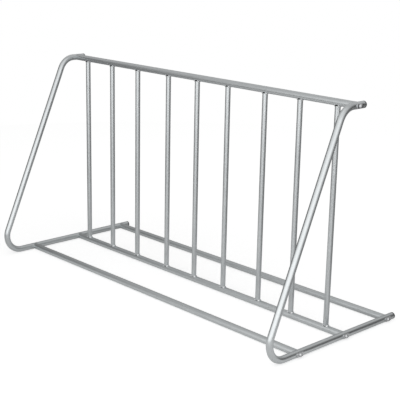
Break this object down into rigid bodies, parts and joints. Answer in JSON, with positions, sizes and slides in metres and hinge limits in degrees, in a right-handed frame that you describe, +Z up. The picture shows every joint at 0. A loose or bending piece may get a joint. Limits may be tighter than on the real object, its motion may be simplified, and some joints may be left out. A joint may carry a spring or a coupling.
{
  "type": "floor bike rack",
  "caption": "Floor bike rack: bent tube end frames joined by floor rails and a top rail, with grouped uprights that hold a wheel between each pair.",
  "frame": {"origin": "on the floor, under the centre of the bounding box", "axes": "+X along the rails to the right-hand end frame, -Y to the front where wheels go in, +Z up"},
  "size_m": [1.5916, 0.6859, 0.844],
  "materials": {
    "galvanised_tube": "galvanised, satin, faintly mottled and drawn lengthwise",
    "weld_metal": "zinc-coated weld bead, slightly rough",
    "zinc_fastener": "bright zinc plate",
    "insert_steel": "turned, oiled",
    "black_plastic": "moulded, fine grain"
  },
  "bodies": {
    "root": {"end_frame_left": "galvanised_tube", "end_frame_right": "galvanised_tube", "front_rail": "galvanised_tube", "middle_rail": "galvanised_tube", "rear_rail": "galvanised_tube", "top_rail": "galvanised_tube", "upright_1": "galvanised_tube", "upright_2": "galvanised_tube", "upright_3": "galvanised_tube", "upright_4": "galvanised_tube", "upright_5": "galvanised_tube", "upright_6": "galvanised_tube", "upright_7": "galvanised_tube", "upright_8": "galvanised_tube", "upright_9": "galvanised_tube", "upright_welds_bottom": "weld_metal", "upright_welds_top": "weld_metal", "rail_insert_front_left": "insert_steel", "rail_insert_middle_left": "insert_steel", "rail_insert_rear_left": "insert_steel", "rail_insert_top_left": "insert_steel", "frame_bolts_left": "zinc_fastener", "saddle_washers_left": "zinc_fastener", "end_plug_top_left": "black_plastic", "end_plug_floor_left": "black_plastic", "rail_insert_front_right": "insert_steel", "rail_insert_middle_right": "insert_steel", "rail_insert_rear_right": "insert_steel", "rail_insert_top_right": "insert_steel", "frame_bolts_right": "zinc_fastener", "saddle_washers_right": "zinc_fastener", "end_plug_top_right": "black_plastic", "end_plug_floor_right": "black_plastic"}
  },
  "joints": []
}
